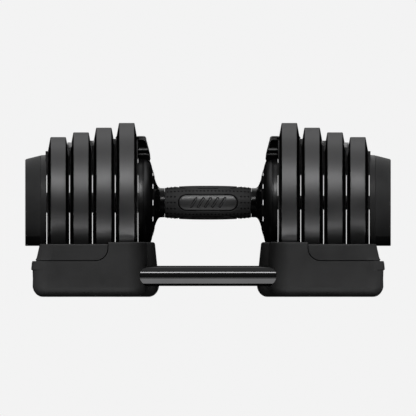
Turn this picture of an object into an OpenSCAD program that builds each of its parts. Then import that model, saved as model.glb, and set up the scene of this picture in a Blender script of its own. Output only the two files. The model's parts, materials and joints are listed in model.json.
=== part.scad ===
// Adjustable dumbbell standing in its cradle.
// A twist grip turns a notched shaft on each side; the shaft picks up to four round plates a side.
// Millimetres, +Z up. The handle axis runs along X and the origin is on the floor under the grip.

/* [Weight plates] */
// Radius of the largest plate, the one next to the grip
plate_r = 80.1; // [79.6:0.1:80.3]
// How much smaller each plate is than the one inside it
plate_step = 4.68; // [4.5:0.01:4.8]
// Distance from one gap between plates to the next
plate_pitch = 22.83; // [22.7:0.01:23]
// Gap between two plates
plate_gap = 0.55; // [0.5:0.05:0.8]
// Width of a plate at its rim
rim_w = 15.8; // [15:0.1:16.4]

/* [Grip] */
// Height of the handle axis above the floor
axis_z = 94.2; // [94:0.1:94.6]
// Length of the grip sleeve
grip_len = 86.4; // [80:0.1:86.6]
// Radius in the middle of the grip
grip_r = 16.65; // [16:0.05:18]
// Radius at the ends of the grip
grip_end_r = 14.8; // [14:0.05:15.6]
// Length of the thumb pad on the grip
pad_len = 60.6; // [50:0.1:64]
// Height of the thumb pad on the grip
pad_h = 18.6; // [14:0.1:20]

/* [Hubs and end caps] */
// Radius of the inner hubs
hub_r = 47; // [46.5:0.1:47.2]
// Distance from the middle to the outer face of an inner hub
hub_face = 69.85; // [69.6:0.05:69.9]
// Radius of the end rings
ring_r = 47.9; // [47.4:0.1:48]
// Height of the flat underneath the end caps
cap_flat = 51; // [50.9:0.1:51.4]
// Length of an end cap, ring and cover together
cap_len = 21.3; // [20.5:0.1:22]

/* [Selector] */
// Radius of the selector shafts
shaft_r = 10.05; // [9.9:0.01:10.1]
// Thickness of the shaft across one pair of flats
flat_w = 14.6; // [14.2:0.05:14.6]
// Radius of the tie rod that the shafts turn on
rod_r = 5; // [4.5:0.1:5.2]
// Turn from one weight setting to the next, degrees
click = 30; // [30:1:30]
// How far the lock yoke drops when the handle leaves the cradle
lock_drop = 4.5; // [4:0.1:4.6]

/* [Cradle] */
// Depth of a tray, front to back
tray_depth = 160; // [159:0.5:161]
// Height of the inner part of a tray
tray_top = 54.8; // [54.4:0.1:55.2]
// Height of the raised shoulder at the outer part of a tray
shoulder_top = 52.9; // [52.5:0.1:53.3]
// Height of the joint line between the tray and its insert
split_z = 36.4; // [36:0.1:37]
// Radius of the two bars that join the trays
bar_r = 10.15; // [9.5:0.05:10.3]
// Distance of each bar from the middle, front to back
bar_y = 65.4; // [64.5:0.1:65.6]
// Height of the bars
bar_z = 21; // [20.8:0.1:21.5]

/* [Hidden] */

$fn = 96;
eps = 0.01;
plates = 4;
first_gap = 69.9;
hub_inner = hub_face - 3.45;
plate_half = (plate_pitch - plate_gap) / 2;
last_gap = first_gap + plates * plate_pitch;
ring_x = last_gap + plate_gap / 2;
cover_x = ring_x + 6;
cap_x = ring_x + cap_len;
tray_x = last_gap + 14.3;
rest_turn = plates * click;

pocket_r = shaft_r + 0.3;
neck_w = flat_w + 0.3;
land_w = plate_gap + 1;
land_deep = 0.8;
neck_r = 7;

lug_y = [11, 24];
lug_low = 27.4;
lug_out = plate_gap + 2;
channel_deep = 2.3;
tray_low = 0.15;

tube_r = 11;
spigot_r = 8.5;
web_x = 59.8;
wheel_x = 63.4;
wheel_w = 2.2;
wheel_r = 24;
yoke_x = wheel_x + 0.1;
yoke_w = 2;
dimple_r = 16.5;
hub_screw_r = 41;
end_screw_r = 34;

wall = 3.2;
ledge_z = 12;
cover_z = 1.2;
cover_h = 3;
foot_xy = [[84, 56], [152, 56]];
cover_screw_xy = [[78, 46], [158, 46]];
bar_screw_x = 84;
bar_end = 92;

black = [0.07, 0.07, 0.08];
plate_grey = [0.30, 0.30, 0.31];
tray_grey = [0.16, 0.16, 0.17];
steel = [0.62, 0.63, 0.65];

// Centre of plate k, counted from the inside, and its radius.
function plate_x(k) = first_gap + (k - 0.5) * plate_pitch;
function radius(k) = plate_r - (k - 1) * plate_step;
// Top of the interlock lugs on the outer face of plate k.
function lug_top(k) = 65.7 - 1.8 * k;
function arc(cx, cy, r, a0, a1, n = 8) =
    [for (i = [0:n]) let (a = a0 + (a1 - a0) * i / n) [cx + r * cos(a), cy + r * sin(a)]];
function flip(points) = [for (i = [len(points) - 1:-1:0]) [points[i][0], -points[i][1]]];

// ---------- helpers ----------

module on_axis() { translate([0, 0, axis_z]) children(); }

// Turned body along X: each point is [radius, x].
module turned(points) { on_axis() rotate([0, 90, 0]) rotate_extrude() polygon(points); }

module rod(r, x0, x1) { on_axis() translate([x0, 0, 0]) rotate([0, 90, 0]) cylinder(r = r, h = x1 - x0); }

// Box given by two opposite corners.
module box(a, b) { translate(a) cube(b - a); }

// Outline in the XZ plane, carried from y0 to y1.
module slab_y(y0, y1) { translate([0, y1, 0]) rotate([90, 0, 0]) linear_extrude(y1 - y0) children(); }

// Outline in the YZ plane about the handle axis, carried from x0 to x1.
module slab_x(x0, x1) {
    on_axis() translate([x0, 0, 0]) rotate([90, 0, 90]) linear_extrude(x1 - x0) children();
}

module left() { mirror([1, 0, 0]) children(); }

module both_sides() {
    children();
    left() children();
}

module front_and_back() {
    children();
    mirror([0, 1, 0]) children();
}

// Countersunk screw along +Z with its head at the bottom.
module screw(r, head_r, len) {
    cylinder(r = r, h = len);
    cylinder(r1 = head_r, r2 = r, h = head_r - r);
}

// ---------- weight plates ----------

function rim_edge(r) = concat(
    [[r - 13.6, plate_half], [r - 13, rim_w / 2 + 2.2], [r - 1.2, rim_w / 2 + 0.05]],
    arc(r - 1, rim_w / 2 - 1, 1, 75, 0)
);

module keyhole() {
    rod(pocket_r, 0, 200);
    box([0, -neck_w / 2, axis_z], [200, neck_w / 2, axis_z + 100]);
}

// Pair of lugs that stand out from x0 to x1, with a chamfer along the top at the free end.
module lugs(x0, x1, top) {
    c = 1.5 * sign(x1 - x0);
    front_and_back() slab_y(lug_y[0], lug_y[1]) translate([0, axis_z]) polygon([
        [x0, lug_low], [x1, lug_low], [x1, top - 1.5], [x1 - c, top], [x0, top]
    ]);
}

// Channels open at the top that the lugs of the next piece slide into from above.
module channels(x0, x1) {
    front_and_back() box(
        [min(x0, x1), lug_y[0] - 0.3, axis_z + lug_low - 0.3],
        [max(x0, x1), lug_y[1] + 0.3, axis_z + 100]
    );
}

// Shallow slot, open at the top, that a round land of the shaft turns in.
module land_slot(x0, x1) {
    w = lug_y[0] - 0.3;
    rod(w, x0, x1);
    box([x0, -w, axis_z], [x1, w, axis_z + 100]);
}

module plate(k) {
    r = radius(k);
    x = plate_x(k);
    color(plate_grey) difference() {
        union() {
            translate([x, 0, 0])
                turned(concat([[0, plate_half]], rim_edge(r), flip(rim_edge(r)), [[0, -plate_half]]));
            if (k < plates) lugs(x + 7.9, x + plate_half + lug_out, lug_top(k));
        }
        keyhole();
        land_slot(x - plate_half - 1, x - plate_half + land_deep);
        land_slot(x + plate_half - land_deep, x + plate_half + 3);
        channels(x - plate_half - 1, x - plate_half + channel_deep);
        if (k == plates) channels(x + plate_half - channel_deep, x + plate_half + 1);
    }
}

module plate_left_1() { left() plate(1); }
module plate_left_2() { left() plate(2); }
module plate_left_3() { left() plate(3); }
module plate_left_4() { left() plate(4); }
module plate_right_1() { plate(1); }
module plate_right_2() { plate(2); }
module plate_right_3() { plate(3); }
module plate_right_4() { plate(4); }

// ---------- selector: everything that turns with the grip ----------

function barrel(x) = grip_end_r + (grip_r - grip_end_r) * (1 - pow(abs(x) / (grip_len / 2), 2.6));

module barrel_body(grow = 0) {
    n = 24;
    turned(concat(
        [[0, -grip_len / 2]],
        [for (i = [-n / 2:n / 2]) let (x = grip_len * i / n) [barrel(x) + grow, x]],
        [[0, grip_len / 2]]
    ));
}

module stadium(len, h) {
    square([len - h, h], center = true);
    for (s = [-1, 1]) translate([s * (len - h) / 2, 0]) circle(d = h);
}

// Groove round the thumb pad and the slanted grip slots in the pad.
module pad_marks() {
    difference() {
        stadium(pad_len, pad_h);
        stadium(pad_len - 3, pad_h - 3);
    }
    for (i = [-2:2]) translate([7.3 * i, 0]) polygon([[-3.3, -4.7], [-1.1, -4.7], [3.3, 4.7], [1.1, 4.7]]);
}

module grip_sleeve() {
    color(black) difference() {
        barrel_body();
        rod(tube_r, -60, 60);
        difference() {
            slab_y(-30, -5) translate([0, axis_z]) pad_marks();
            barrel_body(-0.7);
        }
    }
}

module handle_tube() {
    color(steel) difference() {
        rod(tube_r, -47, 47);
        rod(spigot_r, -48, 48);
    }
}

module collar() {
    color(black) turned([
        [tube_r, 43.4], [14.8, 43.4], [14.7, 47], [14.9, 48.3], [15.8, 49.5], [17.2, 50.5], [19.3, 51.5],
        [21.9, 52.5], [24.7, 53.2], [24.7, 57.5], [22.7, 57.5], [22.7, 54.6], [13.2, 51.6],
        [13.2, web_x], [shaft_r, web_x], [shaft_r, 47], [tube_r, 47]
    ]);
}

module collar_left() { left() collar(); }
module collar_right() { collar(); }

// The shaft at plate k: it slips up through the neck of the keyhole at the settings below k.
module cam(k) {
    x0 = plate_x(k) - plate_half;
    difference() {
        rod(shaft_r, x0, x0 + 2 * plate_half);
        for (j = [0:k - 1]) {
            on_axis() rotate([rest_turn - j * click, 0, 0]) front_and_back()
                box([x0 - 1, flat_w / 2, -20], [x0 + 2 * plate_half + 1, 20, 20]);
        }
    }
}

module shaft(land_r) {
    end_x = last_gap + land_w / 2;
    color(steel) difference() {
        union() {
            rod(spigot_r, 34, 47);
            rod(shaft_r, 47, hub_face - 0.3);
            rod(neck_r, hub_face - 1, end_x);
            for (k = [1:plates]) cam(k);
            for (k = [0:plates]) {
                gap_x = first_gap + k * plate_pitch;
                rod(land_r, gap_x - land_w / 2, gap_x + land_w / 2);
            }
        }
        rod(rod_r + 0.05, 30, 200);
    }
}

// The left shaft has round lands in the gaps between plates, the right one is necked down there.
module selector_shaft_left() { left() shaft(shaft_r); }
module selector_shaft_right() { shaft(neck_r); }

module lock_wheel() {
    color(steel) difference() {
        union() {
            rod(14, web_x + 1.2, wheel_x);
            rod(wheel_r, wheel_x, wheel_x + wheel_w);
        }
        rod(shaft_r, 50, 80);
        for (i = [0:11]) {
            on_axis() rotate([i * 30, 0, 0]) box([wheel_x - 1, -2.5, 19], [wheel_x + 3, 2.5, 30]);
            on_axis() rotate([i * 30, 0, 0])
                translate([wheel_x + wheel_w + 0.6, 0, dimple_r]) sphere(r = 1.3);
        }
    }
}

module lock_wheel_left() { left() lock_wheel(); }
module lock_wheel_right() { lock_wheel(); }

module number_ring() {
    color([0.9, 0.9, 0.88]) turned([
        [shaft_r, web_x], [38, web_x], [38, web_x + 2.4], [36.2, web_x + 2.4],
        [36.2, web_x + 1.2], [shaft_r, web_x + 1.2]
    ]);
}

module number_ring_left() { left() number_ring(); }
module number_ring_right() { number_ring(); }

// ---------- lock yoke: drops into the lock wheel when the handle leaves the cradle ----------

module yoke_outline(r) {
    circle(r = r);
    translate([0, lock_drop]) circle(r = r);
    translate([-r, 0]) square([2 * r, lock_drop]);
}

module lock_yoke() {
    inner_r = wheel_r + 0.6;
    color([0.75, 0.6, 0.3]) slab_x(yoke_x, yoke_x + yoke_w) {
        difference() {
            yoke_outline(inner_r + 4);
            yoke_outline(inner_r);
        }
        translate([-2.1, inner_r]) square([4.2, lock_drop + 2]);
        translate([-5, -hub_r]) square([10, hub_r - inner_r - 2]);
    }
}

module lock_yoke_left() { left() lock_yoke(); }
module lock_yoke_right() { lock_yoke(); }

// ---------- handle frame: everything that lifts but does not turn ----------

module tie_rod() { color(steel) rod(rod_r, -cover_x - 7, cover_x + 7); }

module end_nuts() {
    color(steel) both_sides() difference() {
        on_axis() translate([cover_x, 0, 0]) rotate([0, 90, 0]) cylinder(r = 9, h = 6, $fn = 6);
        rod(rod_r, 100, 200);
    }
}

// Places along X at n even angles round the handle axis, at radius r.
module around(n, r, first = 0) {
    for (i = [0:n - 1]) on_axis() rotate([first + i * 360 / n, 0, 0]) translate([0, r, 0]) children();
}

module hub_plate() {
    color([0.2, 0.2, 0.21]) difference() {
        union() {
            rod(hub_r, hub_inner, hub_face);
            lugs(hub_face - 1, first_gap + plate_gap / 2 + 2, 40);
        }
        rod(13, 60, 80);
        around(1, dimple_r) translate([60, 0, 0]) rotate([0, 90, 0]) cylinder(r = 2, h = 20);
        around(6, hub_screw_r) translate([hub_face, 0, 0]) rotate([0, -90, 0]) screw(1.5, 2.6, 10);
    }
}

module hub_plate_left() { left() hub_plate(); }
module hub_plate_right() { hub_plate(); }

module hub_screws() {
    color(steel) both_sides() around(6, hub_screw_r)
        translate([hub_face, 0, 0]) rotate([0, -90, 0]) screw(1.5, 2.6, 6.5);
}

module hub_bush() {
    color([0.7, 0.55, 0.3]) difference() {
        rod(13, hub_inner - 0.4, hub_face);
        rod(shaft_r + 0.05, 60, 80);
    }
}

module hub_bush_left() { left() hub_bush(); }
module hub_bush_right() { hub_bush(); }

module detent_plungers() {
    color(steel) both_sides() around(1, dimple_r) translate([hub_face, 0, 0]) rotate([0, -90, 0]) {
        cylinder(r = 2, h = 2.7);
        cylinder(r1 = 1.3, r2 = 0.6, h = 3.2);
    }
}

function dome() = [
    [32.2, 55.2], [33.3, 55.5], [36.8, 56.3], [40.5, 57.5], [43.2, 59], [45.6, 61],
    [hub_r - 0.1, 63], [hub_r, 64], [hub_r, hub_inner]
];
function dome_inside() =
    [[44.6, hub_inner], [44.6, 63.3], [42.9, 61.2], [40, 59.4], [35.5, 58.2], [30, 57.4]];

module hub_cover() {
    color(black) difference() {
        union() {
            turned(concat([[25.6, 55.2]], dome(), dome_inside(), [[25.6, 57.2]]));
            intersection() {
                around(6, hub_screw_r) translate([61.5, 0, 0]) rotate([0, 90, 0])
                    cylinder(r = 2.6, h = hub_inner - 61.5);
                turned(concat([[0, 55.2]], dome(), [[0, hub_inner]]));
            }
        }
        around(6, hub_screw_r) translate([62.6, 0, 0]) rotate([0, 90, 0]) cylinder(r = 1.5, h = 10);
        box([58.4, -8, axis_z + 36], [62.7, 8, axis_z + 50]);
        box([yoke_x - 0.3, -5.3, axis_z - 50], [yoke_x + yoke_w + 0.3, 5.3, axis_z - 40]);
    }
}

module hub_cover_left() { left() hub_cover(); }
module hub_cover_right() { hub_cover(); }

// Ring with twelve lobes in the mouth of the hub, one lobe for each click.
module click_ring() {
    color(steel) difference() {
        union() {
            turned([[25.3, 53.2], [28.2, 53.85], [30.2, 54.35], [31.6, 54.9], [31.6, 55.2], [25.3, 55.2]]);
            around(12, 31.4) translate([54.6, 0, 0]) rotate([0, 90, 0]) cylinder(r = 1.9, h = 0.6);
        }
        rod(25.3, 50, 60);
    }
}

module click_ring_left() { left() click_ring(); }
module click_ring_right() { click_ring(); }

// Side outline of the indicator housing on top of a hub.
function housing() = [
    [60, 132], [58.1, 136.4], [57.45, 138.4], [57.7, 140.6], [61.5, 154.6], [62.3, 158.6], [63.4, 160.5],
    [64.5, 160.9], [hub_face, 160.9], [hub_face, 132]
];

// Everything the hub fills, for cutting the housing to sit on it.
module hub_space() { turned(concat([[0, 55.2]], dome(), [[hub_r, 80], [0, 80]])); }

module window(deep) {
    polygon([[57.7 - eps, 140.6], [61.12, 153.2], [61.12 + deep, 153.2], [57.7 + deep, 140.6]]);
}

module indicator_housing() {
    color(black) difference() {
        union() {
            slab_y(-18, 18) polygon(housing());
            front_and_back() box([hub_face - 1, lug_y[0], axis_z + 40], [hub_face + 2.3, 18, 160.4]);
        }
        hub_space();
        box([60.2, -11, 130], [66.9, 11, 153.2]);
        slab_y(-9, 9) window(4);
    }
}

module indicator_housing_left() { left() indicator_housing(); }
module indicator_housing_right() { indicator_housing(); }

module indicator_lens() {
    color([0.8, 0.85, 0.88, 0.5]) difference() {
        slab_y(-9, 9) window(1.2);
        hub_space();
    }
}

module indicator_lens_left() { left() indicator_lens(); }
module indicator_lens_right() { indicator_lens(); }

// Coil round a vertical line at [x, 0], standing from z0 to z1.
module coil(x, z0, z1, r, wire, turns) {
    steps = 12 * turns;
    sides = 6;
    pts = [for (i = [0:steps], j = [0:sides - 1])
        let (a = 30 * i, b = 60 * j, rr = r + wire * cos(b))
        [rr * cos(a), rr * sin(a), z0 + wire + (z1 - z0 - 2 * wire) * i / steps + wire * sin(b)]];
    skin = [for (i = [0:steps - 1], j = [0:sides - 1]) let (n = (j + 1) % sides)
        each [[i * sides + j, (i + 1) * sides + j, (i + 1) * sides + n],
              [i * sides + j, (i + 1) * sides + n, i * sides + n]]];
    first = [for (j = [0:sides - 1]) j];
    last = [for (j = [sides - 1:-1:0]) steps * sides + j];
    translate([x, 0, 0]) polyhedron(points = pts, faces = concat(skin, [first], [last]));
}

module lock_spring() {
    color(steel) coil(yoke_x + 1.2, axis_z + wheel_r + 4.6 + lock_drop, axis_z + 44.6, 1.3, 0.25, 7);
}

module lock_spring_left() { left() lock_spring(); }
module lock_spring_right() { lock_spring(); }

// Outside of an end cap: a ring, then a cover that narrows to the end.
function cap_side(x0, x1) =
    let (r0 = ring_r - 0.25 * (x0 - cover_x + 2.5), r1 = ring_r - 0.25 * (x1 - cover_x + 2.5))
    [[0, x0], [r0, x0], [r1 + 0.25, x1 - 1], [r1 - 0.8, x1], [0, x1]];

module above(z) { box([0, -100, z], [300, 100, 300]); }

module end_ring() {
    color([0.2, 0.2, 0.21]) difference() {
        union() {
            intersection() {
                turned([
                    [0, ring_x], [ring_r, ring_x], [ring_r - 0.4, cover_x - 0.5], [ring_r - 1, cover_x],
                    [0, cover_x]
                ]);
                above(cap_flat);
            }
            lugs(ring_x + 1, ring_x - plate_gap - 2, 51.6);
        }
        rod(rod_r, 100, 200);
        rod(lug_y[0] - 0.3, 100, ring_x + land_deep);
        around(3, end_screw_r, 90) translate([ring_x, 0, 0]) rotate([0, 90, 0]) screw(1.5, 3, 10);
    }
}

module end_ring_left() { left() end_ring(); }
module end_ring_right() { end_ring(); }

module end_screws() {
    color(steel) both_sides() around(3, end_screw_r, 90)
        translate([ring_x, 0, 0]) rotate([0, 90, 0]) screw(1.5, 3, 14);
}

module end_cover() {
    pad_top = cap_flat + 9.6;
    color([0.14, 0.14, 0.15]) difference() {
        intersection() {
            turned(cap_side(cover_x, cap_x));
            above(pad_top);
        }
        difference() {
            intersection() {
                turned([
                    [0, cover_x - 1], [ring_r - 3.5, cover_x - 1],
                    [ring_r - 6.4, cap_x - 2.5], [0, cap_x - 2.5]
                ]);
                above(pad_top + 2.5);
            }
            around(3, end_screw_r, 90) translate([cover_x, 0, 0]) rotate([0, 90, 0])
                cylinder(r = 4, h = 20);
        }
        around(3, end_screw_r, 90) translate([cover_x - 1, 0, 0]) rotate([0, 90, 0])
            cylinder(r = 1.5, h = 9.5);
    }
}

module end_cover_left() { left() end_cover(); }
module end_cover_right() { end_cover(); }

module end_pad() {
    color([0.09, 0.09, 0.1]) intersection() {
        turned(cap_side(cover_x, cap_x));
        box([cover_x, -60, cap_flat], [cap_x, 60, cap_flat + 9.6]);
    }
}

module end_pad_left() { left() end_pad(); }
module end_pad_right() { end_pad(); }

// ---------- cradle ----------

// Plan outline from x0 to x1 with corner radius ri at the inner end and ro at the outer end.
module plan(x0, x1, half, ri, ro) {
    translate([x0 + ri, -half]) square([x1 - x0 - ri - ro, 2 * half]);
    translate([x0, ri - half]) square([x1 - x0 - ro, 2 * (half - ri)]);
    translate([x0 + ri, ro - half]) square([x1 - x0 - ri, 2 * (half - ro)]);
    for (s = [-1, 1]) {
        translate([x0 + ri, s * (half - ri)]) circle(r = ri);
        translate([x1 - ro, s * (half - ro)]) circle(r = ro);
    }
}

module corner_post(x, half, r, z0, z1) {
    for (s = [-1, 1]) translate([x, s * (half - r), 0]) {
        translate([0, 0, z0 + 10]) cylinder(r = r, h = z1 - z0 - 10, $fn = 32);
        translate([0, 0, z0 + 10]) rotate_extrude($fn = 32) intersection() {
            translate([r - 10, 0]) circle(r = 10, $fn = 32);
            translate([0, -10]) square([r, 20]);
        }
    }
}

module tray_main() {
    hull() {
        corner_post(81, tray_depth / 2, 20, tray_low, tray_top);
        corner_post(tray_x - 14, tray_depth / 2, 14, tray_low, tray_top);
    }
}

module tray_bay() {
    hull() {
        corner_post(90, 54, 10, tray_low, tray_top);
        corner_post(59, 54, 10, tray_low, 12);
        for (s = [-1, 1]) translate([63, s * 44, tray_top - 1]) cylinder(r = 10, h = 1, $fn = 32);
    }
}

// Side view of everything above the joint line, where the insert shows on the outside.
module shoulder_cut() {
    slab_y(-100, 100) polygon(concat(
        [[200, split_z], [200, 80], [100, 80]],
        arc(112.3, split_z + 12.3, 12.3, 180, 270)
    ));
}

// Space inside a tray: a wide upper part over a ledge and a narrower lower part.
module tray_inside(z0, z1) {
    half = tray_depth / 2;
    if (z1 > ledge_z) translate([0, 0, max(z0, ledge_z)]) linear_extrude(z1 - max(z0, ledge_z))
        plan(66, tray_x - wall, half - wall, 17, 11);
    if (z0 < ledge_z) translate([0, 0, z0]) linear_extrude(min(z1, ledge_z) - z0)
        plan(71.5, tray_x - 11, half - 10.5, 10, 10);
}

module bar_space(r, x0, x1) {
    front_and_back() translate([x0, bar_y, bar_z]) rotate([0, 90, 0]) cylinder(r = r, h = x1 - x0);
}

module tray_shell() {
    color(tray_grey) difference() {
        union() {
            tray_main();
            tray_bay();
            intersection() {
                translate([1.4, 0, 0]) tray_main();
                box([150, -100, 27.2], [200, 100, split_z]);
            }
        }
        shoulder_cut();
        tray_inside(-1, 80);
        rod(hub_r + 0.4, 40, first_gap + 1);
        bar_space(bar_r, 40, bar_end);
        box([55, -44, -1], [62.8, 44, 40]);
    }
}

module tray_shell_left() { left() tray_shell(); }
module tray_shell_right() { tray_shell(); }

// Room for plate k, with a little to spare all round.
module plate_room(k) {
    r = radius(k) + 0.6;
    half = rim_w / 2 + 0.7;
    translate([plate_x(k), 0, 0]) turned([
        [0, -11.6], [r - 13.2, -11.6], [r - 12.6, -half - 2.2], [r, -half],
        [r, half], [r - 12.6, half + 2.2], [r - 13.2, 11.6], [0, 11.6]
    ]);
}

// Hollow underneath, leaving a skin round the plates, the bars and the screw posts.
module insert_hollow() {
    difference() {
        box([72, 4 - tray_depth / 2 + wall, 0], [tray_x - 7, tray_depth / 2 - wall - 4, 49.5]);
        for (k = [1:plates]) {
            x0 = k == 1 ? 60 : first_gap + (k - 1) * plate_pitch;
            rod(radius(k) + 3.6, x0, first_gap + k * plate_pitch);
        }
        rod(50, last_gap - 1, 200);
        bar_space(bar_r + 3.35, 40, bar_end + 3);
        front_and_back() for (p = cover_screw_xy) translate([p[0], p[1], 0]) cylinder(r = 4.5, h = 60);
    }
}

// Outline of the insert where it shows on the outside, with chamfered outer corners.
module shoulder_plan(x1, half) {
    polygon([
        [90, -half], [x1 - 7, -half], [x1, 7 - half], [x1, half - 7], [x1 - 7, half], [90, half]
    ]);
}

module tray_insert() {
    color([0.13, 0.13, 0.14]) difference() {
        union() {
            intersection() {
                tray_inside(8, shoulder_top);
                box([0, -100, 0], [170, 100, 60]);
            }
            tray_inside(8, split_z);
            intersection() {
                hull() {
                    translate([0, 0, split_z]) linear_extrude(1) shoulder_plan(172, tray_depth / 2);
                    translate([0, 0, shoulder_top - 1]) linear_extrude(1)
                        shoulder_plan(168.6, tray_depth / 2 - 1);
                }
                shoulder_cut();
            }
        }
        for (k = [1:plates]) plate_room(k);
        rod(hub_r + 0.4, 40, first_gap + 1);
        intersection() {
            rod(ring_r + 0.4, last_gap - 1, 200);
            above(cap_flat - 0.3);
        }
        bar_space(bar_r, 40, bar_end);
        insert_hollow();
        front_and_back() for (p = cover_screw_xy) translate([p[0], p[1], 0]) cylinder(r = 1.75, h = 16);
        front_and_back() translate([bar_screw_x, bar_y, 0]) cylinder(r = 2, h = 14);
    }
}

module tray_insert_left() { left() tray_insert(); }
module tray_insert_right() { tray_insert(); }

module base_cover() {
    color(black) difference() {
        tray_inside(cover_z, cover_z + cover_h);
        front_and_back() {
            for (p = foot_xy) translate([p[0], p[1], 0]) cylinder(r = 8, h = 2.4);
            for (p = cover_screw_xy) translate([p[0], p[1], cover_z]) screw(1.75, 3.5, 9);
        }
    }
}

module base_cover_left() { left() base_cover(); }
module base_cover_right() { base_cover(); }

module cover_screws() {
    color(steel) both_sides() front_and_back()
        for (p = cover_screw_xy) translate([p[0], p[1], cover_z]) screw(1.75, 3.5, 14);
}

module rubber_feet() {
    color([0.05, 0.05, 0.05]) both_sides() front_and_back()
        for (p = foot_xy) translate([p[0], p[1], 0]) cylinder(r = 8, h = 2.4);
}

module bar() {
    color([0.1, 0.1, 0.11]) difference() {
        translate([-bar_end, bar_y, bar_z]) rotate([0, 90, 0]) cylinder(r = bar_r, h = 2 * bar_end);
        translate([-100, bar_y, bar_z]) rotate([0, 90, 0]) cylinder(r = bar_r - 1.8, h = 200);
        both_sides() translate([bar_screw_x, bar_y, 0]) cylinder(r = 2, h = 18);
    }
}

module cradle_bar_rear() { bar(); }
module cradle_bar_front() { mirror([0, 1, 0]) bar(); }

module bar_screws() {
    color(steel) both_sides() front_and_back() translate([bar_screw_x, bar_y, 5.5]) {
        cylinder(r = 2, h = 11);
        cylinder(r = 3.6, h = 2.5);
    }
}

tray_shell_left();
tray_shell_right();
tray_insert_left();
tray_insert_right();
base_cover_left();
base_cover_right();
cradle_bar_front();
cradle_bar_rear();
bar_screws();
cover_screws();
rubber_feet();
tie_rod();
end_nuts();
end_screws();
hub_screws();
hub_plate_left();
hub_plate_right();
hub_cover_left();
hub_cover_right();
hub_bush_left();
hub_bush_right();
click_ring_left();
click_ring_right();
indicator_housing_left();
indicator_housing_right();
indicator_lens_left();
indicator_lens_right();
detent_plungers();
lock_spring_left();
lock_spring_right();
end_ring_left();
end_ring_right();
end_cover_left();
end_cover_right();
end_pad_left();
end_pad_right();
grip_sleeve();
handle_tube();
collar_left();
collar_right();
selector_shaft_left();
selector_shaft_right();
lock_wheel_left();
lock_wheel_right();
number_ring_left();
number_ring_right();
lock_yoke_left();
lock_yoke_right();
plate_left_1();
plate_left_2();
plate_left_3();
plate_left_4();
plate_right_1();
plate_right_2();
plate_right_3();
plate_right_4();
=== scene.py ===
"""Adjustable dumbbell in its cradle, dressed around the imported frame.

Shapes are worked out in millimetres and turned into metres by solid(). The handle axis runs along X."""
import json
import math

import bmesh
import bpy
from mathutils import Matrix, Vector

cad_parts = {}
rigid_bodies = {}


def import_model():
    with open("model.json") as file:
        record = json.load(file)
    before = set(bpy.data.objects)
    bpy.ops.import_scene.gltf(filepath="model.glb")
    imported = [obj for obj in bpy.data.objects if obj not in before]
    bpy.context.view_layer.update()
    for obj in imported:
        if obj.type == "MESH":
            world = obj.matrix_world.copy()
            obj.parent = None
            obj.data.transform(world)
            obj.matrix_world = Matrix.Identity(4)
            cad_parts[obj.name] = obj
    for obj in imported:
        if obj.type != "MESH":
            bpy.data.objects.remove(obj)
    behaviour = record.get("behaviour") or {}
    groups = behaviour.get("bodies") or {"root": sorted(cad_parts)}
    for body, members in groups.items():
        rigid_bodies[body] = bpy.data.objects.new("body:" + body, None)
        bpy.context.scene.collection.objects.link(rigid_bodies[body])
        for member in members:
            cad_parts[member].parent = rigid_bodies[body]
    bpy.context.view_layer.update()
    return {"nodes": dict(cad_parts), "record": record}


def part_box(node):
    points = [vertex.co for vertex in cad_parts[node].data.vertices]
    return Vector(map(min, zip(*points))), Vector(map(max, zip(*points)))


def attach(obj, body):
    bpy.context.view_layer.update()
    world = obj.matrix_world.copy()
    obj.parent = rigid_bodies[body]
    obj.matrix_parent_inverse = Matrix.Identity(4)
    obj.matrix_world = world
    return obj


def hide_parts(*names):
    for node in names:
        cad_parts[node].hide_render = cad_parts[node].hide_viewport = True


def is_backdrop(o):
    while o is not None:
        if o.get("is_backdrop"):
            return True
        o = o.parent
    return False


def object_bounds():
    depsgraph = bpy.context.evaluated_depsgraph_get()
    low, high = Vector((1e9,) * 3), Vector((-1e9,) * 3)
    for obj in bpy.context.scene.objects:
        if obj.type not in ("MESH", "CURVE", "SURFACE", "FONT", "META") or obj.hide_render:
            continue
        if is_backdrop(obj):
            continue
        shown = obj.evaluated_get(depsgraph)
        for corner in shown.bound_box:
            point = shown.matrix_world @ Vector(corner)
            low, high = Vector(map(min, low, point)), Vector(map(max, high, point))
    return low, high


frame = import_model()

MM = 0.001
NODES = frame["nodes"]


def box_mm(node):
    lo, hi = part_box(node)
    return lo / MM, hi / MM


rod_lo, rod_hi = box_mm("tie_rod")
shell_lo, shell_hi = box_mm("tray_shell_right")
AXIS_Z = (rod_lo.z + rod_hi.z) / 2
HALF_GRIP = box_mm("grip_sleeve")[1].x
HALF_DEPTH = shell_hi.y
TRAY_TOP = shell_hi.z
SHOULDER_Z = box_mm("tray_insert_right")[1].z
HUB_R = box_mm("hub_cover_right")[1].y
HOUSING_FACE = box_mm("hub_bush_right")[1].x
lo, hi = box_mm("plate_right_4")    # the only plate with no lugs reaching outwards
HALF_PLATE = (hi.x - lo.x) / 2
PLATES = []                         # middle and radius of each plate
for k in (1, 2, 3, 4):
    lo, hi = box_mm(f"plate_right_{k}")
    PLATES.append((lo.x + HALF_PLATE, (hi.y - lo.y) / 2))


# ---------- materials ----------

BLOTCH_SCALE = 38                   # size of the broad patches of colour and roughness
WORN_EDGE = (0.52, 0.62)            # pointiness where edge wear starts and where it is full
FLANK_SHADE_START = (0.35, 0.75)          # share of the normal along X where the painted flank shade starts and where it is full
# painted shade on the flanks: a near-black colour and a dulled sheen for the faces square to the handle axis
FLANK_PAINTED_SHADE = (0.03, 0.03, 0.03)
FLANK_SHADED_SHEEN = (0.02, 0.02, 0.02)


def link(tree, a, b):
    tree.links.new(a, b)


def noise(tree, coords, scale, detail=3.0, rough=0.55):
    n = tree.nodes.new("ShaderNodeTexNoise")
    n.inputs["Scale"].default_value = scale
    n.inputs["Detail"].default_value = detail
    n.inputs["Roughness"].default_value = rough
    link(tree, coords, n.inputs["Vector"])
    return n.outputs["Fac"]


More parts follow.
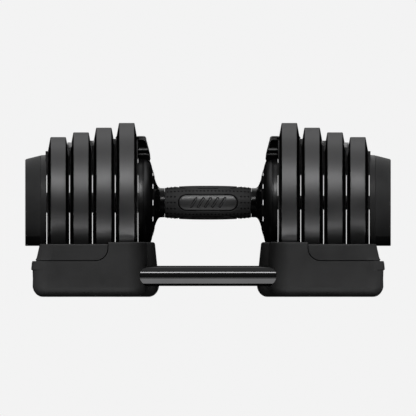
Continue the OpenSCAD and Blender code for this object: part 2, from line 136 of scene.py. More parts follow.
def spread(tree, value, low, high, lo_in=0.3, hi_in=0.7):
    n = tree.nodes.new("ShaderNodeMapRange")
    n.inputs["From Min"].default_value = lo_in
    n.inputs["From Max"].default_value = hi_in
    n.inputs["To Min"].default_value = low
    n.inputs["To Max"].default_value = high
    link(tree, value, n.inputs["Value"])
    return n.outputs["Result"]


def mix_colour(tree, fac, a, b):
    n = tree.nodes.new("ShaderNodeMix")
    n.data_type = "RGBA"
    link(tree, fac, n.inputs["Factor"])
    n.inputs["A"].default_value = (*a, 1)
    n.inputs["B"].default_value = (*b, 1)
    return n.outputs["Result"]


def material(name, base, rough, metal=0.0, coat=0.0, coat_rough=0.06, grain=(900, 0.1, 0.06), vary=0.15,
             tint=0.12, wear=0.0, stretch=(1, 1, 1), specular=0.5, edge=1.0, shade_flank=False):
    """Principled material with blotchy colour, uneven roughness, a fine grain in relief and worn edges.

    grain is (scale, relief in mm, extra roughness). stretch draws the grain out along an axis. edge dims the
    sheen of a metal seen edge on. The flank switch paints shade on the faces square to the handle axis: a
    near-black colour and a dulled sheen."""
    m = bpy.data.materials.new(name)
    m.use_nodes = True
    t = m.node_tree
    b = t.nodes["Principled BSDF"]
    b.inputs["Metallic"].default_value = metal
    b.inputs["Coat Weight"].default_value = coat
    b.inputs["Coat Roughness"].default_value = coat_rough
    b.inputs["Specular IOR Level"].default_value = specular
    b.inputs["Specular Tint"].default_value = (edge, edge, edge, 1)
    here = t.nodes.new("ShaderNodeTexCoord")
    coords = here.outputs["Object"]
    place = t.nodes.new("ShaderNodeMapping")
    place.inputs["Scale"].default_value = stretch
    link(t, coords, place.inputs["Vector"])
    fine = noise(t, place.outputs["Vector"], grain[0], 2.0)
    broad = noise(t, coords, BLOTCH_SCALE, 4.0)
    light = tuple(min(1.0, c * (1 + tint) + 0.001) for c in base)
    dark = tuple(c * (1 - tint) for c in base)
    colour = mix_colour(t, spread(t, broad, 0, 1), dark, light)
    if wear > 0:
        sharp = t.nodes.new("ShaderNodeNewGeometry").outputs["Pointiness"]
        worn = t.nodes.new("ShaderNodeMix")
        worn.data_type = "RGBA"
        link(t, spread(t, sharp, 0, wear, *WORN_EDGE), worn.inputs["Factor"])
        link(t, colour, worn.inputs["A"])
        worn.inputs["B"].default_value = (*tuple(min(1.0, c * 2.2 + 0.03) for c in base), 1)
        colour = worn.outputs["Result"]
    # painted shade: with the flank switch on, faces square to the handle axis turn near black and lose most
    # of their sheen
    if shade_flank:
        parts = t.nodes.new("ShaderNodeSeparateXYZ")
        link(t, here.outputs["Normal"], parts.inputs["Vector"])
        square = t.nodes.new("ShaderNodeMath")
        square.operation = "ABSOLUTE"
        link(t, parts.outputs["X"], square.inputs[0])
        side = spread(t, square.outputs["Value"], 0, 1, *FLANK_SHADE_START)
        black = t.nodes.new("ShaderNodeMix")
        black.data_type = "RGBA"
        link(t, side, black.inputs["Factor"])
        link(t, colour, black.inputs["A"])
        black.inputs["B"].default_value = (*FLANK_PAINTED_SHADE, 1)
        colour = black.outputs["Result"]
        link(t, mix_colour(t, side, (edge, edge, edge), FLANK_SHADED_SHEEN), b.inputs["Specular Tint"])
    link(t, colour, b.inputs["Base Color"])
    uneven = t.nodes.new("ShaderNodeMath")
    uneven.operation = "MULTIPLY_ADD"
    link(t, spread(t, fine, 0, 1), uneven.inputs[0])
    uneven.inputs[1].default_value = grain[2]
    link(t, spread(t, broad, rough * (1 - vary), rough * (1 + vary)), uneven.inputs[2])
    link(t, uneven.outputs["Value"], b.inputs["Roughness"])
    bump = t.nodes.new("ShaderNodeBump")
    bump.inputs["Strength"].default_value = 1.0
    bump.inputs["Distance"].default_value = grain[1] * MM
    link(t, fine, bump.inputs["Height"])
    link(t, bump.outputs["Normal"], b.inputs["Normal"])
    return m


def clear(name):
    m = material(name, (0.9, 0.93, 0.95), 0.05, grain=(120, 0.0004, 0.01), vary=0.3)
    m.node_tree.nodes["Principled BSDF"].inputs["Transmission Weight"].default_value = 0.92
    m.node_tree.nodes["Principled BSDF"].inputs["IOR"].default_value = 1.45
    return m


# the plate coat paints shade on its flanks
PLATE = material("plate coat", (0.18, 0.18, 0.182), 0.48, metal=1.0, grain=(1500, 0.012, 0.04), tint=0.05,
                 vary=0.06, wear=0.12, edge=0.4, shade_flank=True)
HUB_METAL = material("hub coat", (0.085, 0.085, 0.086), 0.34, metal=1.0, grain=(1200, 0.01, 0.05),
                     tint=0.05, edge=0.3)
BAR = material("bar black chrome", (0.062, 0.062, 0.063), 0.06, metal=0.9, grain=(700, 0.001, 0.015),
               tint=0.04, stretch=(0.1, 1, 1), edge=0.3)
TRAY = material("tray moulding", (0.037, 0.037, 0.0375), 0.5, grain=(1300, 0.03, 0.06), wear=0.04,
                specular=0.45)
INSERT = material("insert moulding", (0.034, 0.034, 0.0345), 0.5, grain=(1300, 0.03, 0.06), wear=0.04,
                  specular=0.45)
BASE = material("base moulding", (0.012, 0.012, 0.0125), 0.5, grain=(1100, 0.03, 0.08))
COVER = material("cover moulding", (0.031, 0.031, 0.0315), 0.48, grain=(1300, 0.02, 0.06), wear=0.06,
                 specular=0.12)
GLOSS = material("gloss black", (0.007, 0.007, 0.0075), 0.22, coat=0.1, coat_rough=0.05,
                 grain=(500, 0.002, 0.03), specular=0.22)
# painted shade: the dome and its fillet take a darker copy of the hub coat
HUB_DOME_SHADE = material("hub satin black", (0.05, 0.05, 0.051), 0.40, metal=1.0, grain=(800, 0.006, 0.05),
               tint=0.05, edge=0.3)
GRIP = material("grip soft touch", (0.030, 0.030, 0.0305), 0.50, grain=(1600, 0.03, 0.08), specular=0.22)
PAD = material("thumb pad", (0.034, 0.034, 0.0345), 0.30, grain=(1500, 0.008, 0.04), specular=0.6)
# painted highlight: the near-white ledge colour stands in for the bright line the key light draws on it
LEDGE_HIGHLIGHT = material("housing ledge", (0.75, 0.75, 0.755), 0.28, grain=(900, 0.004, 0.05))
# painted reflection: a diffuse grey on the housing frame ribs stands in for a glossy trim's reflections
RIM_REFLECTION = material("housing rim", (0.27, 0.27, 0.272), 0.34, grain=(900, 0.004, 0.05))
TAB = material("plated tab", (0.45, 0.45, 0.45), 0.35, metal=0.2, grain=(900, 0.006, 0.06), wear=0.1)
# near-black material for the dots, also used as painted shade along the slot edges and the pad groove
DOTS_AND_GROOVE_SHADE = material("grip dots", (0.003, 0.003, 0.0032), 0.6, grain=(1600, 0.02, 0.1), specular=0.1)
END_COAT = material("end ring coat", (0.030, 0.030, 0.0305), 0.42, grain=(1200, 0.012, 0.05), wear=0.06,
                    specular=0.25)
RUBBER = material("pad rubber", (0.009, 0.009, 0.0092), 0.6, grain=(1200, 0.04, 0.1))
ZINC = material("zinc steel", (0.62, 0.62, 0.60), 0.3, metal=1.0, grain=(900, 0.01, 0.08), wear=0.3)
SHAFT = material("machined steel", (0.34, 0.34, 0.35), 0.32, metal=1.0, grain=(500, 0.012, 0.1),
                 stretch=(6, 1, 1), wear=0.3)
RING = material("click ring", (0.045, 0.045, 0.046), 0.30, metal=0.6, grain=(700, 0.004, 0.05))
CHROME = material("polished lobes", (0.72, 0.72, 0.73), 0.10, metal=1.0, grain=(700, 0.002, 0.03), tint=0.04)
BRONZE = material("sintered bronze", (0.42, 0.27, 0.11), 0.42, metal=1.0, grain=(1500, 0.03, 0.12))
WHITE = material("number ring", (0.62, 0.62, 0.60), 0.45, grain=(900, 0.01, 0.06), tint=0.04)
LENS = clear("lens")

BY_SLOT = {
    "plate_coat": PLATE, "hub_paint": HUB_METAL, "bar_paint": BAR, "tray_shell": TRAY, "tray_insert": INSERT,
    "base_plastic": BASE, "cover_plastic": COVER, "gloss_black": GLOSS, "grip_rubber": GRIP,
    "foot_rubber": RUBBER, "zinc_steel": ZINC, "shaft_steel": SHAFT, "bush_bronze": BRONZE,
    "number_white": WHITE, "lens_clear": LENS,
}
NODE_SLOT = {row["node"]: row["material_slot"] for row in frame["record"]["subparts"]}
NODE_BODY = {n: body for body, names in frame["record"]["behaviour"]["bodies"].items() for n in names}
for name, node in NODES.items():
    node.data.materials.clear()
    node.data.materials.append(END_COAT if name.startswith("end_ring") else BY_SLOT[NODE_SLOT[name]])


# ---------- mesh helpers ----------

MERGE = 0.03                        # points closer than this are one
SLIVER = 0.02                       # edges shorter than this are dissolved


def finish_mesh(bm, name):
    bmesh.ops.remove_doubles(bm, verts=bm.verts, dist=1e-6)
    bmesh.ops.recalc_face_normals(bm, faces=bm.faces)
    mesh = bpy.data.meshes.new(name)
    bm.to_mesh(mesh)
    bm.free()
    return mesh


def solid(name, verts, faces):
    """Closed mesh object from points in millimetres."""
    bm = bmesh.new()
    made = [bm.verts.new(Vector(v) * MM) for v in verts]
    bm.verts.ensure_lookup_table()
    for f in faces:
        bm.faces.new([made[i] for i in f])
    obj = bpy.data.objects.new(name, finish_mesh(bm, name))
    bpy.context.scene.collection.objects.link(obj)
    return obj


def revolve(name, profile, n):
    """Closed profile of (radius, x) turned round the handle axis in n steps."""
    verts, faces = [], []
    m = len(profile)
    for i in range(n):
        a = 2 * math.pi * i / n
        for r, x in profile:
            verts.append((x, r * math.sin(a), AXIS_Z + r * math.cos(a)))
    for i in range(n):
        j = (i + 1) % n
        for p in range(m):
            q = (p + 1) % m
            faces.append((i * m + p, i * m + q, j * m + q, j * m + p))
    return solid(name, verts, faces)


def prism_y(name, points, y0, y1):
    """Outline of (x, z) points carried from y0 to y1."""
    n = len(points)
    verts = [(x, y0, z) for x, z in points] + [(x, y1, z) for x, z in points]
    faces = [tuple(range(n)), tuple(range(2 * n - 1, n - 1, -1))]
    faces += [(i, i + n, (i + 1) % n + n, (i + 1) % n) for i in range(n)]
    return solid(name, verts, faces)


def brick(name, a, b):
    return prism_y(name, [(a[0], a[2]), (b[0], a[2]), (b[0], b[2]), (a[0], b[2])], a[1], b[1])


def arc(cx, cy, r, a0, a1, n=8):
    return [(cx + r * math.cos(math.radians(a0 + (a1 - a0) * i / n)),
             cy + r * math.sin(math.radians(a0 + (a1 - a0) * i / n))) for i in range(n + 1)]


def outline(x0, x1, half, ri, ro, n=14):
    """Plan outline of a tray with corner radius ri at its inner end and ro at its outer end."""
    return (arc(x1 - ro, half - ro, ro, 0, 90, n) + arc(x0 + ri, half - ri, ri, 90, 180, n)
            + arc(x0 + ri, ri - half, ri, 180, 270, n) + arc(x1 - ro, ro - half, ro, 270, 360, n))


def loft(name, levels):
    """Closed solid through plan outlines; each level is (z, x0, x1, half, ri, ro)."""
    rings = [[(x, y, lv[0]) for x, y in outline(*lv[1:])] for lv in levels]
    n = len(rings[0])
    verts = [p for ring in rings for p in ring]
    faces = [tuple(range(n - 1, -1, -1)), tuple((len(rings) - 1) * n + i for i in range(n))]
    for k in range(len(rings) - 1):
        faces += [(k * n + i, k * n + (i + 1) % n, (k + 1) * n + (i + 1) % n, (k + 1) * n + i)
                  for i in range(n)]
    return solid(name, verts, faces)


def tube(name, path, y, across, out, n=14):
    """Rounded rib along a path of (x, z) points at depth y: half-width across, half-height out."""
    verts, faces = [], []
    for i, (x, z) in enumerate(path):
        a, b = path[max(0, i - 1)], path[min(len(path) - 1, i + 1)]
        d = Vector((b[0] - a[0], b[1] - a[1])).normalized()
        for j in range(n):
            t = 2 * math.pi * j / n
            c = across * math.cos(t)
            verts.append((x - d.y * c, y + out * math.sin(t), z + d.x * c))
    for i in range(len(path) - 1):
        faces += [(i * n + j, i * n + (j + 1) % n, (i + 1) * n + (j + 1) % n, (i + 1) * n + j)
                  for j in range(n)]
    faces += [tuple(range(n)), tuple((len(path) - 1) * n + j for j in range(n - 1, -1, -1))]
    return solid(name, verts, faces)


def join(obj, others):
    """Adds other closed shells to obj."""
    bm = bmesh.new()
    for o in [obj] + list(others):
        bm.from_mesh(o.data)
    bm.to_mesh(obj.data)
    bm.free()
    for o in others:
        bpy.data.objects.remove(o)
    return obj


def apply_modifiers(obj):
    dg = bpy.context.evaluated_depsgraph_get()
    mesh = bpy.data.meshes.new_from_object(obj.evaluated_get(dg))
    obj.modifiers.clear()
    obj.data = mesh


def combine(obj, others, operation="DIFFERENCE"):
    for other in others:
        m = obj.modifiers.new("cut", "BOOLEAN")
        m.object = other
        m.operation = operation
        m.solver = "EXACT"
    apply_modifiers(obj)
    for other in others:
        bpy.data.objects.remove(other)
    return obj


def soften(obj, width, angle=38, segments=3):
    """Rounds the sharp edges that have room for it, so no face folds over."""
    bm = bmesh.new()
    bm.from_mesh(obj.data)
    bmesh.ops.remove_doubles(bm, verts=bm.verts, dist=MERGE * MM)
    bmesh.ops.dissolve_degenerate(bm, edges=bm.edges, dist=SLIVER * MM)
    bmesh.ops.dissolve_limit(bm, angle_limit=math.radians(1), verts=bm.verts, edges=bm.edges)
    shortest = {v: min(e.calc_length() for e in v.link_edges) for v in bm.verts}
    edges = [e for e in bm.edges if e.calc_face_angle(0) > math.radians(angle)
             and e.calc_length() > 2.5 * width * MM and min(shortest[v] for v in e.verts) > 2 * width * MM]
    bmesh.ops.bevel(bm, geom=edges, offset=width * MM, offset_type="OFFSET", segments=segments, profile=0.5,
                    affect="EDGES", clamp_overlap=False)
    bm.to_mesh(obj.data)
    bm.free()
    smooth(obj)
    return obj


def smooth(obj, angle=32):
    for p in obj.data.polygons:
        p.use_smooth = True
    obj.data.set_sharp_from_angle(angle=math.radians(angle))
    m = obj.modifiers.new("normals", "WEIGHTED_NORMAL")
    m.keep_sharp = True


def mirrored(obj, name):
    """The same solid on the other side, X to -X."""
    twin = obj.copy()
    twin.data = obj.data.copy()
    twin.name = name
    twin.data.name = name
    twin.data.transform(Matrix.Scale(-1, 4, (1, 0, 0)))
    twin.data.flip_normals()
    bpy.context.scene.collection.objects.link(twin)
    return twin


def dress(obj, material_, node, others=()):
    """obj stands for a CAD node: it rides on the node's body, takes the given material if it has none, and
    hides the node and the others.
    """
    if not obj.data.materials:
        obj.data.materials.append(material_)
    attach(obj, NODE_BODY[node])
    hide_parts(node, *others)
    return obj


def both(build, stem, material_, nodes):
    """Builds the right-hand piece, mirrors it, and puts each in place of its CAD nodes."""
    right = build(f"{stem}_right")
    left = mirrored(right, f"{stem}_left")
    for obj, side in ((left, "left"), (right, "right")):
        dress(obj, material_, f"{nodes[0]}_{side}", [f"{n}_{side}" for n in nodes[1:]])


# ---------- cradle trays ----------

SPLIT_Z = 36.3                      # joint line between the tray and its insert
GROOVE = 0.45                       # half-width of that line
JOINT_X = 100                       # where the joint line turns up to the top of the tray
JOINT_R = 12.3                      # radius of that turn
FOOT_Z = 0.02                       # undersides stand this far clear of the floor
FOOT_R = 10.2                       # rounding of the undersides
FOOT_TOP = 80                       # angle where that rounding meets the upright walls
ROOM = 0.6                          # spare room round each plate
SKIN_INNER = 61                     # inner end of the main block of a tray
TROUGH = 0.4                        # spare room under the hubs


def foot_curve(x0, x1, half, ri, ro):
    """Levels of a rounded underside."""
    out = []
    for i in range(10):
        a = math.radians(FOOT_TOP * i / 9)
        d = FOOT_R * (1 - math.sin(a) / math.sin(math.radians(FOOT_TOP)))
        z = FOOT_Z + FOOT_R * (1 - math.cos(a)) / (1 - math.cos(math.radians(FOOT_TOP)))
        out.append((z, x0 + d, x1 - d, half - d, max(ri - d, 1), max(ro - d, 1)))
    return out


def top_curve(z, x0, x1, half, ri, ro, r):
    """Levels of a top edge at z, rounded to radius r."""
    out = []
    for i in range(5):
        a = math.radians(90 * i / 4)
        d = r * (1 - math.cos(a))
        out.append((z - r + r * math.sin(a), x0 + d, x1 - d, half - d, ri - d, ro - d))
    return out


def plate_rooms(name):
    """Room for the four plates, with a little to spare all round."""
    made = []
    for i, (c, r) in enumerate(PLATES):
        r += ROOM
        prof = [(1, -11.6), (r - 13.2, -11.6), (r - 12.6, -10.8), (r, -8.6), (r, 8.6), (r - 12.6, 10.8),
                (r - 13.2, 11.6), (1, 11.6)]
        made.append(revolve(f"{name}_{i}", [(a, c + b) for a, b in prof], 120))
    return made


def shoulder_region(name, grow):
    """Everything above the joint line, grown by grow."""
    pts = [(200, SPLIT_Z - grow), (200, 80), (JOINT_X - grow, 80)]
    pts += arc(JOINT_X + JOINT_R, SPLIT_Z + JOINT_R, JOINT_R + grow, 180, 270, 14)
    return prism_y(name, pts, -100, 100)


def hub_trough():
    """Room in a tray for the hub that stands over it."""
    r = HUB_R + TROUGH
    return revolve("trough", [(1, 40), (r, 40), (r, 71), (1, 71)], 144)


def tray_shell(name):
    inner, outer, half, ri, ro = SKIN_INNER, shell_hi.x - 1.5, HALF_DEPTH, 20, 16
    levels = foot_curve(inner, outer, half, ri, ro)
    levels += [(18, inner, outer - 0.2, half, ri, ro), (26.6, inner, outer + 0.1, half, ri, ro)]
    levels += [(27.3, inner, outer + 1.45, half, ri, ro), (34.2, inner, outer + 0.8, half, ri, ro)]
    levels += [(35.4, inner, outer + 0.3, half, ri, ro)]
    levels += top_curve(TRAY_TOP, inner, outer, half, ri, ro, 1.3)
    body = loft(name, levels)
    bay_in, bay_half = shell_lo.x, 54
    bay = loft("bay", foot_curve(bay_in, 90, bay_half, 10.5, 10)
               + [(31, bay_in + 1.7, 90, bay_half, 10, 10)]
               + top_curve(TRAY_TOP, bay_in + 3.9, 90, bay_half, 10, 10, 2.4))
    combine(body, [bay], "UNION")
    hollow = loft("hollow", [(9, 71.5, outer - 10.5, half - 10.5, 10, 10),
                             (12, 71.5, outer - 10.5, half - 10.5, 10, 10),
                             (12.05, 66, outer - 3, half - 3.2, 17, 11),
                             (80, 66, outer - 3, half - 3.2, 17, 11)])
    combine(body, [shoulder_region("cut", GROOVE), hollow, hub_trough()])
    return soften(body, 0.4)


def tray_insert(name):
    half = HALF_DEPTH
    flare = [(36, 173.6), (37.1, 172.5), (38.4, 171.7), (40, 171.1), (41.6, 170.8), (46.7, 169.6),
             (SHOULDER_Z - 1.4, 168.6)]
    levels = [(z, 60, x, half, 5, 16) for z, x in flare]
    levels += top_curve(SHOULDER_Z, 60, 168.6, half, 5, 16, 1.3)[1:]
    body = combine(loft(name, levels), [shoulder_region("keep", -GROOVE)], "INTERSECT")
    inside = loft("inside", [(12.1, 66, shell_hi.x - 5, half - 3.25, 17, 11),
                             (SPLIT_Z + 0.9, 66, shell_hi.x - 5, half - 3.25, 17, 11),
                             (SPLIT_Z + 0.95, 66, 166, half - 3.25, 17, 11),
                             (SHOULDER_Z - 0.2, 66, 166, half - 3.25, 17, 11)])
    combine(body, [inside], "UNION")
    seat = revolve("seat", [(1, 161), (48.4, 161), (48.4, 190), (1, 190)], 144)
    combine(seat, [brick("low", (150, -60, 0), (200, 60, 50.7))])
    combine(body, plate_rooms("room") + [seat, hub_trough()])
    return soften(body, 0.4)


both(tray_shell, "tray_shell_skin", TRAY, ["tray_shell"])
both(tray_insert, "tray_insert_skin", INSERT, ["tray_insert"])


# ---------- grip ----------

GRIP_TILT = 0.5                     # the front thumb pad faces this many degrees above level
GRIP_END_R = 14.8
GRIP_SWELL = 1.85                   # how much thicker the grip is in the middle
GRIP_BORE = 11.0
GRIP_SKIN = 13.5                    # everything further out than this is the outer surface
DOT_PITCH = 3.68                    # from dot to dot along the grip
DOT_TURN = 22.5                     # degrees from one row of dots to the next
DOT_R = 0.95
PAD_RUN = 21.1                      # half the straight length of a thumb pad
PAD_R = 7.85                        # half its height
PAD_GROOVE = 8.5                    # distance of its groove from its middle line
SLOT_PITCH = 7.2
SLOT_X, SLOT_S = 2.6, 3.9           # half of what a slanted slot spans along and round the grip
PLAIN, DOTS_AND_GROOVE_SHADE_INDEX, THUMB = 0, 1, 2        # places in the grip's list of materials; the dark place holds the dots and the painted shade of the grooves


def step_down(d, edge, width):
    """1 inside, 0 outside, with a smooth shoulder of the given width."""
    t = max(0.0, min(1.0, (edge - d) / width + 0.5))
    return t * t * (3 - 2 * t)


def slot_distance(x, s):
    """Distance to the nearest of the five slanted grip slots."""
    best = 99.0
    for i in range(-2, 3):
        ax, ay, bx, by = SLOT_PITCH * i - SLOT_X, -SLOT_S, SLOT_PITCH * i + SLOT_X, SLOT_S
        t = ((x - ax) * (bx - ax) + (s - ay) * (by - ay)) / ((bx - ax) ** 2 + (by - ay) ** 2)
        t = max(0.0, min(1.0, t))
        best = min(best, math.hypot(x - ax - t * (bx - ax), s - ay - t * (by - ay)))
    return best


def grip_surface(x, angle, front):
    """Radius of the grip and its material's place, at x and angle degrees from the middle of a thumb pad.
    The dark place marks the dots and paints shade along the slot edges and the pad groove.
    """
    base = GRIP_END_R + GRIP_SWELL * (1 - abs(x / HALF_GRIP) ** 2.6)
    quarter = (angle + 45) % 90 - 45
    s = math.radians(quarter) * base
    pad = math.hypot(max(0.0, abs(x) - PAD_RUN), s)
    relief = 0.30 * step_down(pad, PAD_R, 1.0)
    relief -= 0.85 * step_down(abs(pad - PAD_GROOVE), 0.62, 0.7)
    if front and pad < 8:
        relief -= 0.55 * step_down(slot_distance(x, s), 1.05, 0.5)
    row = (angle / DOT_TURN) - round(angle / DOT_TURN)
    sd = math.radians(row * DOT_TURN) * base
    xd = x - DOT_PITCH * round(x / DOT_PITCH)
    full_row = round(angle / DOT_TURN) % 4 == 2
    dot = math.hypot(xd, sd)
    inside = dot < DOT_R and abs(x) < 41.5 and (full_row or abs(x) > 31.6)
    if inside:
        relief += 0.42 * step_down(dot, 0.6, 0.5)
    edge = max(0.0, abs(x) - HALF_GRIP + 0.8)
    radius = base + relief - 0.5 * edge * edge
    # painted shade: a dark band round each slot and along the pad groove
    rim = 0.66 < slot_distance(x, s) < 1.25 if front and pad < 7.6 else abs(pad - PAD_GROOVE) < 0.5
    if inside and dot < 0.9 or rim:
        return radius, DOTS_AND_GROOVE_SHADE_INDEX
    return radius, THUMB if front and pad < 8.1 else PLAIN


def from_pad(angle):
    """Degrees from the middle of the front thumb pad, and whether that pad is the nearest."""
    rel = (angle - GRIP_TILT + 180) % 360 - 180
    return rel, abs(rel) < 45


def grip(name):
    """Sleeve; 0 degrees faces the front and the angle grows upwards."""
    nx, na = 268, 312
    verts, faces = [], []
    for i in range(nx + 1):
        x = -HALF_GRIP + 2 * HALF_GRIP * i / nx
        for j in range(na):
            a = 360 * j / na
            r = grip_surface(x, *from_pad(a))[0]
            verts.append((x, -r * math.cos(math.radians(a)), AXIS_Z + r * math.sin(math.radians(a))))
    for i in range(nx):
        for j in range(na):
            k = (j + 1) % na
            faces.append((i * na + j, (i + 1) * na + j, (i + 1) * na + k, i * na + k))
    start = len(verts)
    for x in (-HALF_GRIP, HALF_GRIP):
        for j in range(na):
            a = math.radians(360 * j / na)
            verts.append((x, -GRIP_BORE * math.cos(a), AXIS_Z + GRIP_BORE * math.sin(a)))
    for j in range(na):
        k = (j + 1) % na
        faces.append((j, k, start + k, start + j))
        faces.append((nx * na + j, start + na + j, start + na + k, nx * na + k))
        faces.append((start + j, start + k, start + na + k, start + na + j))
    obj = solid(name, verts, faces)
    for m in (GRIP, DOTS_AND_GROOVE_SHADE, PAD):
        obj.data.materials.append(m)
    for p in obj.data.polygons:
        c = p.center / MM
        a = math.degrees(math.atan2(c.z - AXIS_Z, -c.y))
        if math.hypot(c.y, c.z - AXIS_Z) > GRIP_SKIN:
            p.material_index = grip_surface(c.x, *from_pad(a))[1]
        p.use_smooth = True
    obj.data.set_sharp_from_angle(angle=math.radians(60))
    return obj


dress(grip("grip_skin"), GRIP, "grip_sleeve")


# ---------- collars, hubs and housings ----------

def spline(points, n=6):
    """Catmull-Rom through the points."""
    out = []
    pts = [points[0]] + list(points) + [points[-1]]
    for i in range(1, len(pts) - 2):
        p0, p1, p2, p3 = pts[i - 1:i + 3]
        for j in range(n):
            t = j / n
            out.append(tuple(0.5 * (2 * b + (c - a) * t + (2 * a - 5 * b + 4 * c - d) * t * t
                                    + (3 * b - a - 3 * c + d) * t ** 3)
                             for a, b, c, d in zip(p0, p1, p2, p3)))
    out.append(tuple(points[-1]))
    return out


def collar(name):
    bell = spline([(14.6, 43.5), (14.7, 45), (14.7, 47), (14.95, 48.3), (15.8, 49.5), (17.2, 50.5),
                   (19.3, 51.5), (21.9, 52.5), (24.3, 53.2)], 5)
    inside = [(24.7, 53.6), (24.7, 57.4), (22.7, 57.4), (22.7, 54.6), (13.2, 51.6), (13.2, 59.6), (11, 59.6)]
    obj = revolve(name, [(11, 43.4), (14.3, 43.4)] + bell + inside, 160)
    smooth(obj, 40)
    return obj


DOME = [(32.2, 55.25), (33.3, 55.5), (36.8, 56.3), (40.5, 57.5), (43.2, 59), (45.6, 61.2), (46.6, 63)]


def hub(name):
    rim = [(46.3, 64.6), (46.3, 64.9), (47.0, 65.1), (47.0, 66.4), (44.6, 66.4), (44.6, 63.3)]
    inside = [(42.9, 61.2), (40, 59.4), (35.5, 58.2), (30, 57.4), (25.6, 57.2)]
    obj = revolve(name, [(25.6, 55.2), (31.6, 55.2)] + spline(DOME + [(46.9, 64.4)], 5) + rim + inside, 180)
    combine(obj, [brick("slot", (63.2, -5.3, AXIS_Z - 50), (65.8, 5.3, AXIS_Z - 40)),
                  brick("sight", (58.4, -8, AXIS_Z + 36), (62.7, 8, AXIS_Z + 50))])
    smooth(obj, 30)
    return obj


def click_ring(name):
    ring = revolve(name, [(25.4, 55.1), (25.4, 53.4), (25.7, 53.25), (28.2, 53.85), (30.2, 54.35),
                          (31.5, 54.85), (31.8, 55.2)], 180)
    lobes = []
    face = math.radians(25)
    for k in range(12):
        a0 = math.radians(30 * k)
        section = [(-0.9, -0.45), (-0.62, 0.1), (0.62, 0.1), (0.9, -0.45)]
        verts = []
        for t in (-1, -0.86, 0.86, 1):
            a = a0 + t * math.radians(5.0)
            for u, h in section:
                h = h if abs(t) < 0.9 else min(h, -0.3)
                r = 32.6 + u * math.sin(face) + h * math.cos(face)
                x = 55.3 + u * math.cos(face) - h * math.sin(face)
                flat = math.cos(a - a0)
                verts.append((x, -r / flat * math.cos(a), AXIS_Z + r / flat * math.sin(a)))
        faces = [(0, 1, 2, 3), (15, 14, 13, 12)]
        for i in range(3):
            faces += [(i * 4 + j, i * 4 + 4 + j, i * 4 + 4 + (j + 1) % 4, i * 4 + (j + 1) % 4)
                      for j in range(4)]
        lobes.append(solid("lobe", verts, faces))
        lobes[-1].data.materials.append(RING)
        lobes[-1].data.materials.append(CHROME)
        for p in lobes[-1].data.polygons:
            p.material_index = 1
    ring.data.materials.append(RING)
    ring.data.materials.append(CHROME)
    join(ring, lobes)
    smooth(ring, 40)
    return ring


both(collar, "collar_skin", GLOSS, ["collar"])
both(click_ring, "click_ring_skin", RING, ["click_ring"])
both(hub, "hub_skin", HUB_DOME_SHADE, ["hub_cover"])


def hub_space(name):
    """The space that the hub and everything behind its dome take up."""
    r = HUB_R + 0.02
    return revolve(name, [(1, 55.2)] + spline(DOME + [(46.95, 64.4)], 4) + [(r, 66), (r, 78), (1, 78)], 180)


def housing(name):
    front = [(57.75, 140.6), (61.5, 154.6), (62.2, 157.6)]
    side = [(60, 132), (58.1, 136.2)] + arc(58.25, 138.2, 0.8, 200, 150, 3) + front
    side += arc(64.3, 158.4, 2.5, 165, 90, 8) + [(HOUSING_FACE, 160.9), (HOUSING_FACE, 132)]
    body = prism_y(name, side, -17, 17)
    cutters = []
    for s in (-1, 1):
        y0, y1 = sorted((s * 13.6, s * 19))
        arch = [(75, 148.6), (75, 157.6), (66.4, 157.6)]
        arch += arc(66.3, 151.5, 6.1, 96, 160, 10) + [(60.6, 148.6)]
        cutters.append(prism_y("arch", arch, y0, y1))
        y0, y1 = sorted((s * 15.4, s * 19))
        cutters.append(prism_y("step", [(75, 143.2), (75, 146.3), (60.4, 146.3), (59.6, 143.2)], y0, y1))
    cutters.append(brick("core", (60.2, -11, 128), (66.9, 11, 153.2)))
    cutters.append(prism_y("window", [(56, 140.6), (59.6, 153.2), (66, 153.2), (62, 140.6)], -9, 9))
    combine(body, cutters)
    soften(body, 0.3, 35, 2)
    body.modifiers.clear()
    combine(body, [hub_space("dome")])
    frame_path = [(HOUSING_FACE + 1.6, 160.1)] + arc(64.3, 158.1, 2.0, 90, 160, 6)
    frame_path += [(62.0, 156.4), (60.9, 152.2), (59.5, 147.0), (58.5, 142.6), (58.35, 139.6)]
    brow = [(HOUSING_FACE + 1.6, 157.5), (67.5, 157.5)] + arc(66.3, 151.5, 5.9, 80, 158, 9)
    ribs = []
    for s in (-1, 1):
        ribs.append(tube("rib", frame_path, s * 16.75, 0.62, 1.2))
        ribs.append(tube("rib", brow, s * 16.6, 0.42, 1.1))
        low = [(HOUSING_FACE - 0.1, 142.4), (60.2, 142.4), (59.2, 142.2)]
        ribs.append(tube("rib", low, s * 16.9, 0.5, 0.8))
        y0, y1 = sorted((s * 11.1, s * 17.6))
        tongue = brick("tongue", (HOUSING_FACE - 1, y0, AXIS_Z + 40.1), (HOUSING_FACE + 2.2, y1, 160.3))
        ribs.append(combine(tongue, [hub_space("dome")]))
    join(body, ribs)
    # the second material paints a reflection on the frame ribs
    for m in (GLOSS, RIM_REFLECTION):
        body.data.materials.append(m)
    for p in body.data.polygons:
        c = p.center / MM
        on_frame = abs(c.y) > 16.3 and c.z > 147.6
        on_low_rib = abs(c.y) > 16.2 and 141.7 < c.z < 143.1
        p.material_index = int((on_frame or on_low_rib) and c.x < HOUSING_FACE)
    smooth(body, 35)
    return body


def ledge(name):
    """Ledge along each side of the housing, painted near white as a highlight."""
    sides = [tube("rib", [(HOUSING_FACE - 0.1, 147.35), (61.4, 147.35), (60.6, 147.2)], s * 16.7, 0.72, 1.25)
             for s in (-1, 1)]
    bar = join(sides[0], sides[1:])
    bar.name = bar.data.name = name
    smooth(bar, 40)
    return bar


both(housing, "indicator_skin", GLOSS, ["indicator_housing"])

